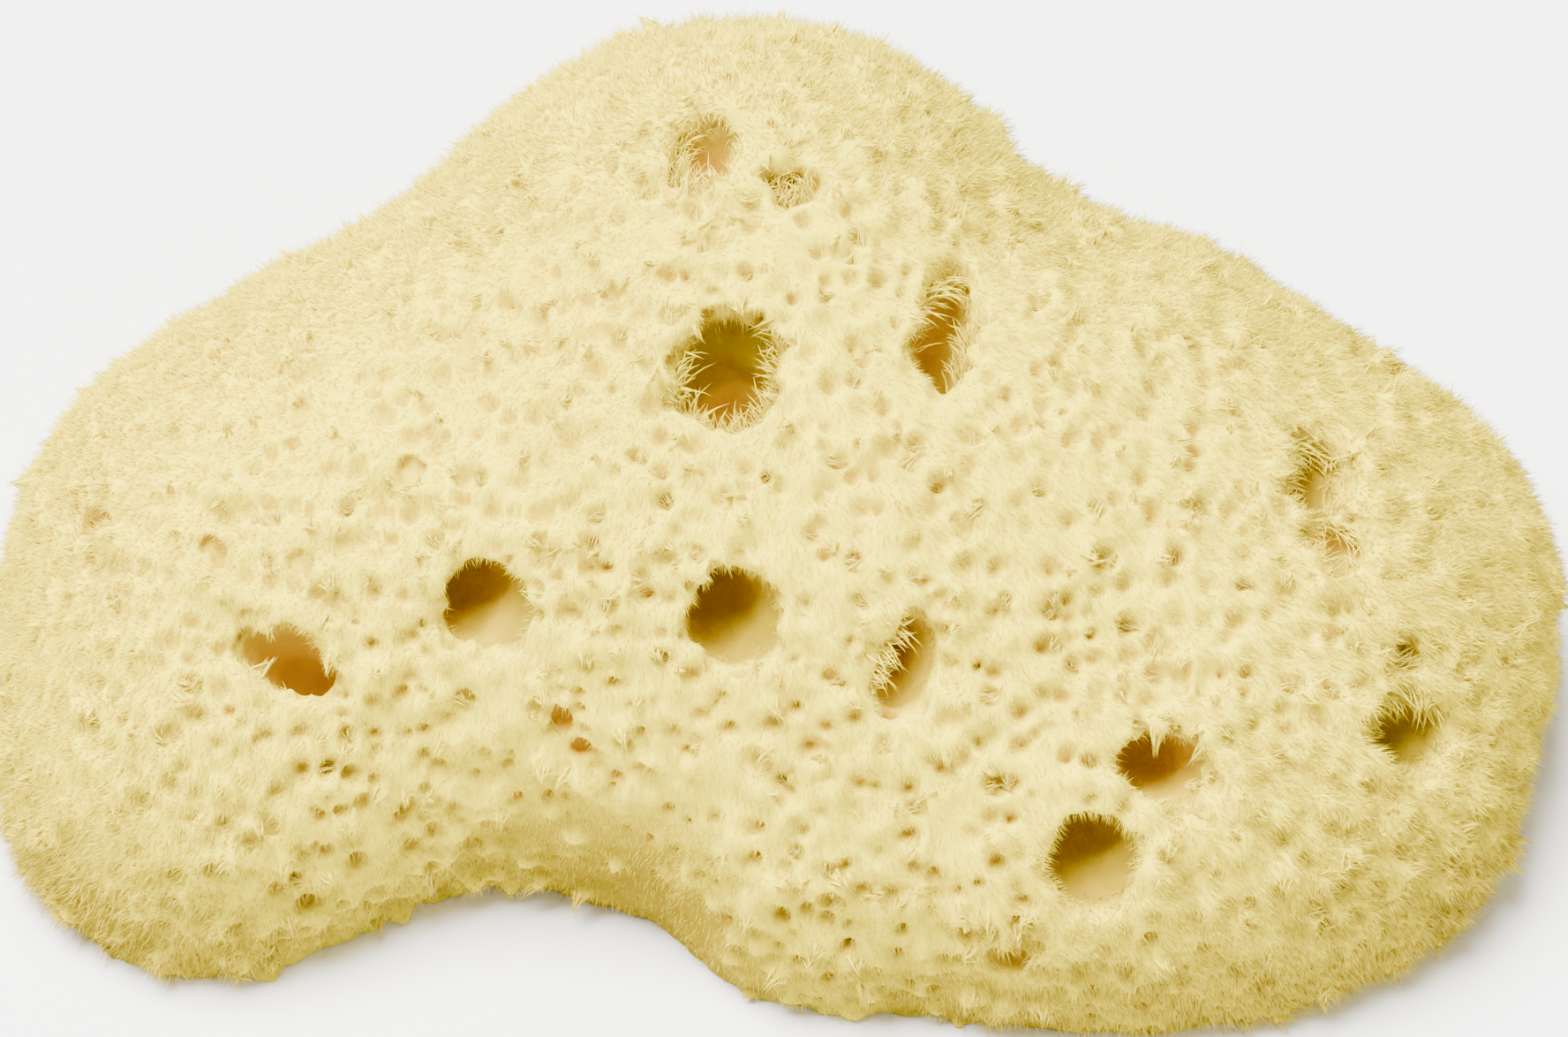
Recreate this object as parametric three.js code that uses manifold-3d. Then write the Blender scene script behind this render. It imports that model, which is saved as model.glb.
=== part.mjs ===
import * as THREE from 'three';
import { mergeVertices } from 'three/addons/utils/BufferGeometryUtils.js';
import Module from 'manifold-3d';

// A bleached silk sea sponge: three lobes round a bay, cut off flat where it grew on the rock.
// Millimetres, +Z up, the origin on the cut, under the middle of the sponge's box.

const wasm = await Module();
wasm.setup();

// The lobes that the sponge swelled into: centre x, y, z, then half width, depth and height.
const lobes = {
  middle: [0, 0, 12, 32, 20, 18],
  backHump: [-2, 12, 16, 19, 17, 20],
  leftShoulder: [-18, 7, 11, 15, 13, 14],
  rightShoulder: [18, 6, 11, 15, 13, 14],
  left: [-27, -1, 10, 17, 16, 14],
  leftFoot: [-32, -12, 5, 12, 12, 13],
  bayWall: [-6, -6, 4, 16, 11, 13],
  bayCorner: [2, -19, 4, 6, 6, 9],
  right: [28, -2, 9, 17, 16, 13],
  rightFoot: [19, -15, 5, 22, 13, 13],
};
const lobeBlend = 2.2; // how far neighbouring lobes melt into each other
const heart = new THREE.Vector3(0, 0, 12); // the whole skin can be seen from here
const farthestSkin = 80; // farther from the heart than any skin
const skinDetail = 14; // subdivisions of the icosahedron that becomes the skin
const boxShift = new THREE.Vector3(-0.32, -0.51, 0); // centres the finished box over the origin
const rockDepth = 40; // how far the block below the cut reaches

// The large pores, called oscula, are the mouths of blind canals. A mouth is placed by the
// direction in which it is seen from the heart, in degrees around from +X and degrees up.
// `wide` lies across the mouth as near to +X as the skin allows, `tall` is across that, and
// `turn` rolls both, in degrees. The canal starts square to the skin and bends to end at `end`.
const oscula = [
  { around: -128, up: 77, wide: 6.4, tall: 7.2, turn: 0, end: [-2, -1, 18] },
  { around: 4, up: 61, wide: 4.0, tall: 8.2, turn: 8, end: [8, 1, 21] },
  { around: 115, up: 67, wide: 4.0, tall: 5.4, turn: 25, end: [-3, 9, 29] },
  { around: 82, up: 73, wide: 4.0, tall: 2.8, turn: 0, end: [1, 8, 32] },
  { around: -7, up: 19, wide: 4.6, tall: 5.8, turn: 0, end: [26, -3, 15] },
  { around: -14, up: 16, wide: 4.2, tall: 4.0, turn: 0, end: [30, -7, 17] },
  { around: -140, up: 25, wide: 5.4, tall: 5.4, turn: 0, end: [-21, -5, 18] },
  { around: -98, up: 35, wide: 5.4, tall: 6.0, turn: 0, end: [-6, -7, 19] },
  { around: -151, up: 13, wide: 6.4, tall: 3.8, turn: 28, end: [-25, -12, 11] },
  { around: -67, up: 25, wide: 3.4, tall: 5.8, turn: 18, end: [5, -10, 17] },
  { around: -44, up: 9, wide: 5.6, tall: 4.6, turn: 15, end: [20, -15, 12] },
  { around: -55, up: 2, wide: 5.4, tall: 5.6, turn: 0, end: [15, -17, 11] },
  { around: -25, up: 4, wide: 6.4, tall: 5.6, turn: 0, end: [30, -13, 11] },
  { around: -20, up: 8, wide: 2.6, tall: 2.2, turn: 0, end: [34, -11, 14] },
  { around: -172, up: 11, wide: 2.4, tall: 2.8, turn: 0, end: [-37, -5, 16] },
  // small side pores between them
  { around: -64, up: -9, wide: 3.2, tall: 1.6, turn: 0, end: [13, -25, 7] },
  { around: -124, up: 13, wide: 1.5, tall: 1.8, turn: 0, end: [-13, -14, 15] },
  { around: -120, up: 9, wide: 1.6, tall: 1.4, turn: 0, end: [-11, -15, 13] },
  { around: -74, up: 27, wide: 1.5, tall: 1.3, turn: 0, end: [4, -14, 19] },
  { around: -143, up: 1, wide: 1.7, tall: 1.5, turn: 0, end: [-28, -19, 12] },
  { around: -158, up: 20, wide: 2.2, tall: 1.6, turn: 0, end: [-26, -10, 20] },
  { around: -163, up: 17, wide: 1.8, tall: 1.6, turn: 0, end: [-31, -8, 19] },
  { around: -161, up: 32, wide: 1.5, tall: 2.2, turn: 0, end: [-20, -6, 23] },
  // the sides and the back
  { around: -4, up: -6, wide: 3.4, tall: 4.2, turn: 0, end: [37, -3, 9] },
  { around: 12, up: 12, wide: 4.4, tall: 3.6, turn: 25, end: [29, 4, 13] },
  { around: 34, up: 4, wide: 3.0, tall: 3.4, turn: 0, end: [23, 11, 11] },
  { around: 52, up: 28, wide: 4.8, tall: 5.4, turn: -20, end: [9, 11, 20] },
  { around: 84, up: 12, wide: 5.6, tall: 5.0, turn: 0, end: [-1, 20, 15] },
  { around: 96, up: 34, wide: 2.8, tall: 3.4, turn: 0, end: [-2, 20, 24] },
  { around: 118, up: 2, wide: 3.6, tall: 4.6, turn: 15, end: [-9, 19, 15] },
  { around: 147, up: 18, wide: 5.0, tall: 3.8, turn: 30, end: [-20, 10, 15] },
  { around: 163, up: 4, wide: 3.6, tall: 4.0, turn: 0, end: [-31, 6, 12] },
  { around: 180, up: -5, wide: 3.2, tall: 2.8, turn: 0, end: [-37, 1, 9] },
];

// Canals that the knife opened in the cut base: mouth x, y and width, and the blind end.
const baseCanals = [
  { x: -30, y: -6, wide: 4.0, end: [-28, -5, 6] },
  { x: -14, y: 4, wide: 5.0, end: [-16, 6, 8] },
  { x: 2, y: 14, wide: 3.4, end: [3, 15, 6] },
  { x: 8, y: -6, wide: 4.4, end: [9, -4, 7] },
  { x: 24, y: -14, wide: 3.2, end: [23, -15, 5] },
  { x: 30, y: 3, wide: 4.6, end: [28, 2, 6] },
];

const mouthFlare = 1.15; // a canal's width outside the skin, as a share of its mouth
const canalTaper = 0.7; // its width near the blind end, as a share of its mouth
const canalStart = 3; // the cutting tool starts this far outside the skin
const narrowCanal = 2.5; // a canal narrower than this is cut with fewer sides
const narrowSides = 8;
const wideSides = 12;
const gradientStep = 0.01;

const spongin = new THREE.MeshStandardMaterial({ color: '#ecdfa9', roughness: 0.9, metalness: 0 });

// Negative inside the sponge: the lobes' ellipsoids, melted together.
function skinField(x, y, z) {
  let sum = 0;
  for (const [lobeX, lobeY, lobeZ, width, depth, height] of Object.values(lobes)) {
    const reach = Math.hypot((x - lobeX) / width, (y - lobeY) / depth, (z - lobeZ) / height);
    const distance = (reach - 1) * Math.min(width, depth, height);
    sum += Math.exp(-distance / lobeBlend);
  }
  return -lobeBlend * Math.log(sum);
}

// The skin's point in a direction from the heart, found by halving the ray.
function skinPoint(direction) {
  const point = new THREE.Vector3();
  let inside = 0;
  let outside = farthestSkin;
  for (let step = 0; step < 30; step += 1) {
    const middle = (inside + outside) / 2;
    point.copy(heart).addScaledVector(direction, middle);
    if (skinField(point.x, point.y, point.z) < 0) {
      inside = middle;
    } else {
      outside = middle;
    }
  }
  return point;
}

function skinNormal({ x, y, z }) {
  const value = skinField(x, y, z);
  return new THREE.Vector3(
    skinField(x + gradientStep, y, z) - value,
    skinField(x, y + gradientStep, z) - value,
    skinField(x, y, z + gradientStep) - value,
  ).normalize();
}

function directionFromHeart(around, up) {
  const flat = THREE.MathUtils.degToRad(around);
  const rise = THREE.MathUtils.degToRad(up);
  const level = Math.cos(rise);
  return new THREE.Vector3(Math.cos(flat) * level, Math.sin(flat) * level, Math.sin(rise));
}

function solidFromGeometry(geometry) {
  geometry.deleteAttribute('normal');
  geometry.deleteAttribute('uv');
  const merged = mergeVertices(geometry, 1e-4);
  return new wasm.Manifold(new wasm.Mesh({
    numProp: 3,
    vertProperties: new Float32Array(merged.attributes.position.array),
    triVerts: new Uint32Array(merged.index.array),
  }));
}

function geometryFromSolid(solid) {
  const { vertProperties, triVerts } = solid.getMesh();
  const geometry = new THREE.BufferGeometry();
  geometry.setAttribute('position', new THREE.BufferAttribute(vertProperties, 3));
  geometry.setIndex(new THREE.BufferAttribute(triVerts, 1));
  return geometry;
}

// An icosahedron's points, each pushed out from the heart to the skin.
function bodySolid() {
  const geometry = new THREE.IcosahedronGeometry(1, skinDetail);
  const { position } = geometry.attributes;
  const direction = new THREE.Vector3();
  for (let i = 0; i < position.count; i += 1) {
    direction.fromBufferAttribute(position, i).normalize();
    const point = skinPoint(direction);
    position.setXYZ(i, point.x, point.y, point.z);
  }
  return solidFromGeometry(geometry);
}

// The rock that the sponge is cut off: a block below the base.
function rockSolid() {
  const block = new THREE.BoxGeometry(3 * farthestSkin, 3 * farthestSkin, rockDepth);
  block.translate(0, 0, -rockDepth / 2);
  return solidFromGeometry(block);
}

// The level radius of a canal of width 1 against the distance in from its mouth.
function canalProfile(deep) {
  return [
    [0, -canalStart],
    [mouthFlare / 2, -canalStart],
    [mouthFlare / 2, 0],
    [0.5, deep * 0.15],
    [canalTaper / 2, deep * 0.75],
    [canalTaper / 3, deep * 0.95],
    [0, deep],
  ].map(([radius, along]) => new THREE.Vector2(radius, along));
}

// A round-ended tube that starts outside the mouth, goes straight in and bends towards `end`.
function canalSolid({ mouth, inward, wide, tall, turn, end }) {
  const reach = new THREE.Vector3(...end).sub(mouth);
  const deep = reach.length();
  const bend = reach.addScaledVector(inward, -deep);
  const sides = Math.min(wide, tall) < narrowCanal ? narrowSides : wideSides;
  const tube = new THREE.LatheGeometry(canalProfile(deep), sides);
  tube.scale(wide, 1, tall);
  tube.rotateY(THREE.MathUtils.degToRad(turn));

  const across = new THREE.Vector3(1, 0, 0).addScaledVector(inward, -inward.x).normalize();
  const beside = new THREE.Vector3().crossVectors(across, inward);
  const { position } = tube.attributes;
  const point = new THREE.Vector3();
  for (let i = 0; i < position.count; i += 1) {
    const along = position.getY(i);
    const bent = Math.max(along / deep, 0) ** 2;
    point.copy(mouth).addScaledVector(inward, along).addScaledVector(bend, bent);
    point.addScaledVector(across, position.getX(i)).addScaledVector(beside, position.getZ(i));
    position.setXYZ(i, point.x, point.y, point.z);
  }
  return solidFromGeometry(tube);
}

function osculumSolid({ around, up, ...size }) {
  const mouth = skinPoint(directionFromHeart(around, up));
  return canalSolid({ mouth, inward: skinNormal(mouth).negate(), ...size });
}

function baseCanalSolid({ x, y, wide, end }) {
  const mouth = new THREE.Vector3(x, y, 0);
  return canalSolid({ mouth, inward: new THREE.Vector3(0, 0, 1), wide, tall: wide, turn: 0, end });
}

function spongeGeometry() {
  let solid = bodySolid().subtract(rockSolid());
  for (const osculum of oscula) {
    solid = solid.subtract(osculumSolid(osculum));
  }
  for (const canal of baseCanals) {
    solid = solid.subtract(baseCanalSolid(canal));
  }
  const geometry = geometryFromSolid(solid);
  geometry.translate(boxShift.x, boxShift.y, boxShift.z);
  return geometry;
}

const sponge = new THREE.Mesh(spongeGeometry(), spongin);
sponge.name = 'sponge';

const part = new THREE.Group();
part.add(sponge);

export default part;
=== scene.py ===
import math
import time

import bmesh
import bpy
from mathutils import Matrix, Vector


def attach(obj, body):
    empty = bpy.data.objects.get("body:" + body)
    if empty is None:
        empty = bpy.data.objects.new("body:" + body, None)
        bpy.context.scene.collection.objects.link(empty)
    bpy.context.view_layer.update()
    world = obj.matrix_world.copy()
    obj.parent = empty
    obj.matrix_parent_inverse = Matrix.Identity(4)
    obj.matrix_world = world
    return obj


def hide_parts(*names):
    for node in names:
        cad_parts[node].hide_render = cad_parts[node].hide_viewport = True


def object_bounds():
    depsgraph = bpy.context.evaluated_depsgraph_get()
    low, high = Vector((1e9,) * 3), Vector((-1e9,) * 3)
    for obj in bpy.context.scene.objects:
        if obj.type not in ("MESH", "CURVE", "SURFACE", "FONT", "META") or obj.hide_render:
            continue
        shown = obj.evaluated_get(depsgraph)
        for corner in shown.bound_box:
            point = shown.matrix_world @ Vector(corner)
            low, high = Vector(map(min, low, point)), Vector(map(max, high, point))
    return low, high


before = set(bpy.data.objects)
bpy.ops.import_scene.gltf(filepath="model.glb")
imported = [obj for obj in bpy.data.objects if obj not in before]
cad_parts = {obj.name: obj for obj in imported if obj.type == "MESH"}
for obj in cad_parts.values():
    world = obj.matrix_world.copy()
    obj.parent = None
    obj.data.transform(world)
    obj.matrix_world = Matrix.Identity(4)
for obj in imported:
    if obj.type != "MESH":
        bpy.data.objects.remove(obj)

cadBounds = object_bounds()
cadLow, cadHigh = cadBounds
middle = (cadLow + cadHigh) / 2
mm = 0.001
started = time.time()


def report(stage):
    print(f"{time.time() - started:6.1f} s  {stage}")


def linear(hexColour):
    # sRGB hex to the linear numbers that shaders take
    channels = [int(hexColour[i:i + 2], 16) / 255 for i in (1, 3, 5)]
    return tuple(c / 12.92 if c <= 0.04045 else ((c + 0.055) / 1.055) ** 2.4 for c in channels) + (1.0,)


# the kinds of node that the trees use most
scalar, vector = "ShaderNodeMath", "ShaderNodeVectorMath"
mapRange, randomValue = "ShaderNodeMapRange", "FunctionNodeRandomValue"
splitAxes, joinAxes = "ShaderNodeSeparateXYZ", "ShaderNodeCombineXYZ"
readNamed, storeNamed = "GeometryNodeInputNamedAttribute", "GeometryNodeStoreNamedAttribute"
setPosition = "GeometryNodeSetPosition"

# and the settings that they share
times, over = {"operation": "MULTIPLY"}, {"operation": "DIVIDE"}
plus, minus = {"operation": "ADD"}, {"operation": "SUBTRACT"}
timesPlus, higher = {"operation": "MULTIPLY_ADD"}, {"operation": "MAXIMUM"}
stretch, unit = {"operation": "SCALE"}, {"operation": "NORMALIZE"}
softly = {"interpolation_type": "SMOOTHSTEP"}
oneFloat, oneVector = {"data_type": "FLOAT"}, {"data_type": "FLOAT_VECTOR"}
floatOnPoints = {"data_type": "FLOAT", "domain": "POINT"}
vectorOnPoints = {"data_type": "FLOAT_VECTOR", "domain": "POINT"}


def addNode(tree, kind, settings=None, inputs=None):
    # one node with its settings; an input is a value or the socket that feeds it
    node = tree.nodes.new(kind)
    for name, value in (settings or {}).items():
        setattr(node, name, value)
    for key, value in (inputs or {}).items():
        if isinstance(value, bpy.types.NodeSocket):
            tree.links.new(value, node.inputs[key])
        else:
            node.inputs[key].default_value = value
    return node


def startTree(name, sizes):
    # a Geometry Nodes tree with one named input for each size
    tree = bpy.data.node_groups.new(name, "GeometryNodeTree")
    tree.interface.new_socket("Geometry", in_out="INPUT", socket_type="NodeSocketGeometry")
    for key, value in sizes.items():
        kind = "NodeSocketInt" if isinstance(value, int) else "NodeSocketFloat"
        tree.interface.new_socket(key, in_out="INPUT", socket_type=kind)
    tree.interface.new_socket("Geometry", in_out="OUTPUT", socket_type="NodeSocketGeometry")
    return tree, tree.nodes.new("NodeGroupInput").outputs


def runTree(target, tree, sizes):
    # the tree as a modifier, its inputs set by identifier before the first evaluation
    modifier = target.modifiers.new(tree.name, "NODES")
    modifier.node_group = tree
    for socket in tree.interface.items_tree:
        if socket.in_out == "INPUT" and socket.name in sizes:
            modifier[socket.identifier] = sizes[socket.name]


def freeze(target, name):
    # the evaluated object as a plain mesh object of its own
    evaluated = target.evaluated_get(bpy.context.evaluated_depsgraph_get())
    mesh = bpy.data.meshes.new_from_object(evaluated)
    mesh.name = name
    piece = bpy.data.objects.new(name, mesh)
    bpy.context.scene.collection.objects.link(piece)
    return piece


def discard(target):
    bpy.data.meshes.remove(target.data, do_unlink=True)


camera = {
    "lens": 206,  # mm, a long lens from half a metre away
    "distance": 0.52,
    "elevation": 48,
    "aimShift": (-0.32 * mm, -0.51 * mm),
    "aimHeight": 13 * mm,
}


def placeCamera():
    data = bpy.data.cameras.new("camera")
    data.lens = camera["lens"]
    data.clip_start = 0.01
    viewer = bpy.data.objects.new("camera", data)
    tilt = math.radians(camera["elevation"])
    back = Vector((0, -math.cos(tilt), math.sin(tilt)))
    aside, along = camera["aimShift"]
    aim = Vector((middle.x + aside, middle.y + along, camera["aimHeight"]))
    viewer.location = aim + back * camera["distance"]
    viewer.rotation_euler = (-back).to_track_quat("-Z", "Y").to_euler()
    bpy.context.scene.collection.objects.link(viewer)
    bpy.context.scene.camera = viewer


placeCamera()

# The body: a field of distance to the CAD solid, roughened, with a pit in each cell of the net.
# All sizes are real ones, in metres.
body = {
    "Voxel": 0.24 * mm,
    "Source Voxel": 0.5 * mm,  # of the distance grids
    "Envelope": 4.0 * mm,  # over half the widest canal, so that the envelope bridges them all
    "Lump Size": 7.0 * mm,
    "Lump": 0.9 * mm,
    "Rag Size": 2.2 * mm,
    "Rag": 0.9 * mm,
    "Pore Spacing": 1.5 * mm,
    "Pore Width": 1.5 * mm,
    "Pore Depth": 1.5 * mm,
    "Ridge Height": 0.3 * mm,
    "Tip Spacing": 2.2 * mm,
    "Tip Height": 0.8 * mm,
}
# the crown of the sponge is the most open part of the net, and the flanks are woolly
crown = {
    "middle": (-4 * mm, -12 * mm, 0.0),
    "halfWidth": 34 * mm,
    "halfDepth": 19 * mm,
    "flank": 1.25,  # where the flanks start, in half widths
    "top": 0.75,  # and where the crown is fully open
}
# how far each of the body's features goes
growth = {
    "sourceBand": 10,  # voxels of the distance grid on each side of the solid
    "shellBand": 18,
    "shellMargin": 6 * mm,
    "skinMargin": 1.5 * mm,
    "wallDepth": 1.8 * mm,  # canal depth from which a wall is smooth
    "skinDepth": 0.5 * mm,  # and up to which it is skin
    "slopeReach": 0.25 * mm,
    "poreRandomness": 0.85,
    "flankPoreDepth": 0.5,  # as a share of the crown's
    "flankPoreWidth": 0.85,
    "narrowPore": 0.3,  # radius as a share of the pore width
    "widePore": 0.55,
    "ridgeFoot": 0.5,  # distance from a pore's middle, in cells
    "ridgeTop": 1.0,
    "tipRandomness": 0.9,
    "tipFoot": 0.55,  # distance from a tip's middle, in cells
    "tipTop": 0.1,
    "pitRounding": 0.25 * mm,
    "triangles": 198000,
}


def addDistance(tree, mesh, voxel, band):
    # the signed distance to a closed mesh, as a function that reads it at any position
    grid = addNode(tree, "GeometryNodeMeshToSDFGrid", None,
                   {"Mesh": mesh, "Voxel Size": voxel, "Band Width": band}).outputs[0]
    half = addNode(tree, scalar, times, {0: voxel, 1: 0.5}).outputs[0]

    def distanceAt(position, nudge=(0, 0, 0)):
        # grid samples lie half a voxel off
        moved = addNode(tree, vector, plus, {0: position, 1: nudge}).outputs[0]
        centred = addNode(tree, vector, plus, {0: moved, 1: half}).outputs[0]
        return addNode(tree, "GeometryNodeSampleGrid", None, {"Grid": grid, "Position": centred}).outputs[0]

    return distanceAt


def addVolumeMesh(tree, within, voxel, density, margin):
    # the surface where a density field passes zero, inside the box of a geometry
    box = addNode(tree, "GeometryNodeBoundBox", None, {"Geometry": within})
    low = addNode(tree, vector, minus, {0: box.outputs["Min"], 1: (margin,) * 3}).outputs[0]
    high = addNode(tree, vector, plus, {0: box.outputs["Max"], 1: (margin,) * 3}).outputs[0]
    span = addNode(tree, vector, minus, {0: high, 1: low}).outputs[0]
    steps = addNode(tree, vector, over, {0: span, 1: voxel}).outputs[0]
    count = addNode(tree, splitAxes, None, {0: steps}).outputs
    volume = addNode(tree, "GeometryNodeVolumeCube", None,
                     {"Density": density, "Background": -1.0, "Min": low, "Max": high,
                      "Resolution X": count[0], "Resolution Y": count[1],
                      "Resolution Z": count[2]}).outputs[0]
    return addNode(tree, "GeometryNodeVolumeToMesh", {"resolution_mode": "GRID"},
                   {"Volume": volume, "Threshold": 0.0}).outputs[0]


def addEnvelope(tree, geometry, distanceAt, given):
    # how deep a position lies below the sponge's outer skin, with every canal bridged over
    position = addNode(tree, "GeometryNodeInputPosition").outputs[0]
    away = distanceAt(position)
    near = addNode(tree, scalar, minus, {0: given["Envelope"], 1: away}).outputs[0]
    wide = addNode(tree, scalar, times, {0: given["Source Voxel"], 1: 2.0}).outputs[0]
    shell = addVolumeMesh(tree, geometry, wide, near, growth["shellMargin"])
    shellDistanceAt = addDistance(tree, shell, wide, growth["shellBand"])

    def depthAt(place):
        inward = addNode(tree, scalar, times, {0: shellDistanceAt(place), 1: -1.0})
        return addNode(tree, scalar, minus, {0: inward.outputs[0], 1: given["Envelope"]}).outputs[0]

    return depthAt


def bodyTree():
    tree, given = startTree("growSponge", body)
    distanceAt = addDistance(tree, given["Geometry"], given["Source Voxel"], growth["sourceBand"])
    depthAt = addEnvelope(tree, given["Geometry"], distanceAt, given)
    position = addNode(tree, "GeometryNodeInputPosition").outputs[0]

    # canal walls are smooth, and the skin is not: a canal is deep under the envelope, but not in the solid
    buried = addNode(tree, scalar, {"operation": "MINIMUM"}, {0: distanceAt(position), 1: 0.0}).outputs[0]
    canal = addNode(tree, scalar, plus, {0: depthAt(position), 1: buried}).outputs[0]
    onSkin = addNode(tree, mapRange, softly,
                     {"Value": canal,
                      "From Min": growth["wallDepth"], "From Max": growth["skinDepth"]}).outputs[0]

    # a warp makes the rims ragged, and soft lumps make the skin woolly
    rag = addNode(tree, scalar, over, {0: 1.0, 1: given["Rag Size"]}).outputs[0]
    noise = addNode(tree, "ShaderNodeTexNoise", None,
                    {"Vector": position, "Scale": rag, "Detail": 2.0, "Roughness": 0.6}).outputs["Color"]
    centred = addNode(tree, vector, minus, {0: noise, 1: (0.5, 0.5, 0.5)}).outputs[0]
    shift = addNode(tree, vector, stretch, {0: centred, "Scale": given["Rag"]}).outputs[0]
    warped = addNode(tree, vector, plus, {0: position, 1: shift}).outputs[0]
    lump = addNode(tree, scalar, over, {0: 1.0, 1: given["Lump Size"]}).outputs[0]
    swell = addNode(tree, "ShaderNodeTexNoise", None,
                    {"Vector": position, "Scale": lump, "Detail": 1.0}).outputs[0]
    level = addNode(tree, scalar, minus, {0: 0.5, 1: swell}).outputs[0]
    signed = addNode(tree, scalar, timesPlus,
                     {0: level, 1: given["Lump"], 2: distanceAt(warped)}).outputs[0]

    # the nearest point of the skin, from the slope of the distance
    reach = growth["slopeReach"]
    ahead = [distanceAt(warped, nudge) for nudge in ((reach, 0, 0), (0, reach, 0), (0, 0, reach))]
    behind = [distanceAt(warped, nudge) for nudge in ((-reach, 0, 0), (0, -reach, 0), (0, 0, -reach))]
    slopes = addNode(tree, joinAxes)
    for axis in range(3):
        slope = addNode(tree, scalar, minus, {0: ahead[axis], 1: behind[axis]}).outputs[0]
        tree.links.new(slope, slopes.inputs[axis])
    normal = addNode(tree, vector, unit, {0: slopes.outputs[0]}).outputs[0]
    drop = addNode(tree, vector, stretch, {0: normal, "Scale": signed}).outputs[0]
    foot = addNode(tree, vector, minus, {0: warped, 1: drop}).outputs[0]

    # a pit in each cell of the net narrows towards its bottom, and cells differ in width
    density = addNode(tree, scalar, over, {0: 1.0, 1: given["Pore Spacing"]}).outputs[0]
    cells = addNode(tree, "ShaderNodeTexVoronoi", {"feature": "F1"},
                    {"Vector": foot, "Scale": density, "Randomness": growth["poreRandomness"]})
    away = addNode(tree, scalar, times,
                   {0: cells.outputs["Distance"], 1: given["Pore Spacing"]}).outputs[0]
    centred = addNode(tree, vector, minus, {0: position, 1: crown["middle"]}).outputs[0]
    spans = (1 / crown["halfWidth"], 1 / crown["halfDepth"], 0.0)
    scaled = addNode(tree, vector, times, {0: centred, 1: spans}).outputs[0]
    ring = addNode(tree, vector, {"operation": "LENGTH"}, {0: scaled}).outputs["Value"]
    porous = addNode(tree, mapRange, softly,
                     {"Value": ring, "From Min": crown["flank"], "From Max": crown["top"]}).outputs[0]
    reachDown = addNode(tree, mapRange, None,
                        {"Value": porous, "To Min": growth["flankPoreDepth"], "To Max": 1.0}).outputs[0]
    poreDepth = addNode(tree, scalar, times, {0: given["Pore Depth"], 1: reachDown}).outputs[0]
    sunk = addNode(tree, scalar, over, {0: signed, 1: poreDepth}).outputs[0]
    taper = addNode(tree, scalar, plus, {0: sunk, 1: 1.0}).outputs[0]
    lot = addNode(tree, splitAxes, None, {0: cells.outputs["Color"]}).outputs[0]
    share = addNode(tree, mapRange, None,
                    {"Value": lot, "To Min": growth["narrowPore"], "To Max": growth["widePore"]}).outputs[0]
    onFlank = addNode(tree, mapRange, None,
                      {"Value": porous, "To Min": growth["flankPoreWidth"], "To Max": 1.0}).outputs[0]
    quiet = addNode(tree, scalar, times, {0: onSkin, 1: onFlank}).outputs[0]
    radius = addNode(tree, scalar, times, {0: given["Pore Width"], 1: share}).outputs[0]
    calmed = addNode(tree, scalar, times, {0: radius, 1: quiet}).outputs[0]
    tapered = addNode(tree, scalar, times, {0: calmed, 1: taper}).outputs[0]
    pit = addNode(tree, scalar, minus, {0: tapered, 1: away}).outputs[0]

    # ridges between the pores, and pointed tips
    corner = addNode(tree, mapRange, softly,
                     {"Value": cells.outputs["Distance"],
                      "From Min": growth["ridgeFoot"], "From Max": growth["ridgeTop"]}).outputs[0]
    ridge = addNode(tree, scalar, times, {0: corner, 1: given["Ridge Height"]}).outputs[0]
    tipDensity = addNode(tree, scalar, over, {0: 1.0, 1: given["Tip Spacing"]}).outputs[0]
    tips = addNode(tree, "ShaderNodeTexVoronoi", {"feature": "F1"},
                   {"Vector": foot, "Scale": tipDensity,
                    "Randomness": growth["tipRandomness"]}).outputs["Distance"]
    spire = addNode(tree, mapRange, None,
                    {"Value": tips, "From Min": growth["tipFoot"], "From Max": growth["tipTop"]}).outputs[0]
    raised = addNode(tree, scalar, timesPlus, {0: spire, 1: given["Tip Height"], 2: ridge}).outputs[0]
    skinOnly = addNode(tree, scalar, times, {0: raised, 1: onSkin}).outputs[0]
    grown = addNode(tree, scalar, minus, {0: signed, 1: skinOnly}).outputs[0]

    # pits are cut out softly, and nothing reaches below the cut base
    pitted = addNode(tree, scalar, {"operation": "SMOOTH_MAX"},
                     {0: grown, 1: pit, 2: growth["pitRounding"]}).outputs[0]
    height = addNode(tree, splitAxes, None, {0: position}).outputs["Z"]
    below = addNode(tree, scalar, times, {0: height, 1: -1.0}).outputs[0]
    cut = addNode(tree, scalar, higher, {0: pitted, 1: below}).outputs[0]
    dense = addNode(tree, scalar, times, {0: cut, 1: -1.0}).outputs[0]
    mesh = addVolumeMesh(tree, given["Geometry"], given["Voxel"], dense, growth["skinMargin"])

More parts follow.
